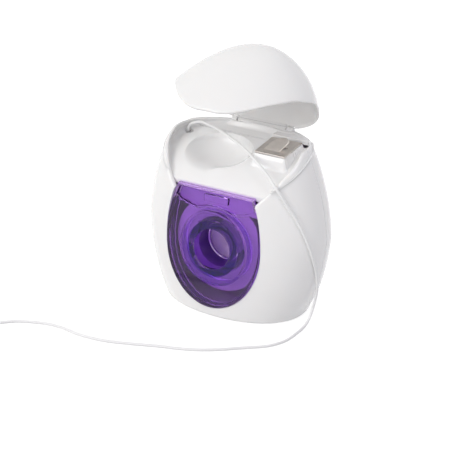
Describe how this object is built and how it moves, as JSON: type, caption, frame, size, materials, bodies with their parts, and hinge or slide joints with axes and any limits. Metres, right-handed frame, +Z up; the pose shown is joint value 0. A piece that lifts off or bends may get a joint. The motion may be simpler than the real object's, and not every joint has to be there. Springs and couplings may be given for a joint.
{
  "type": "dental floss dispenser",
  "caption": "Egg-shaped floss dispenser with a hinged hood lid, a clear coloured window with a bobbin hub behind it, a steel cutter and floss drawn out onto the table.",
  "frame": {"origin": "middle of the flat base, on the surface that the dispenser stands on", "axes": "+Z up; the window faces -Y; +X to the right of the window"},
  "size_m": [0.0892, 0.08, 0.0733],
  "materials": {
    "shell_plastic": "gloss white",
    "lid_plastic": "gloss white",
    "window_plastic": "clear purple",
    "cutter_steel": "stamped sheet",
    "bobbin_plastic": "matt",
    "floss": "waxed fibre"
  },
  "bodies": {
    "case": {"front_shell": "shell_plastic", "rear_shell": "shell_plastic", "spool_window": "window_plastic", "cutter_plate": "cutter_steel", "floss_inner_run": "floss", "floss_strand": "floss", "floss_coil": "floss"},
    "lid": {"lid": "lid_plastic"},
    "spool": {"bobbin": "bobbin_plastic", "floss_winding": "floss"}
  },
  "joints": [
    {"name": "lid_hinge", "type": "hinge", "parent": "case", "child": "lid", "pos_m": [0, 0.012, 0.04904], "axis": [-1, 0, 0], "range_deg": [-56.5, 43.5]},
    {"name": "spool_spin", "type": "hinge", "parent": "case", "child": "spool", "pos_m": [0, 0, 0.0203], "axis": [0, 1, 0], "continuous": true}
  ]
}
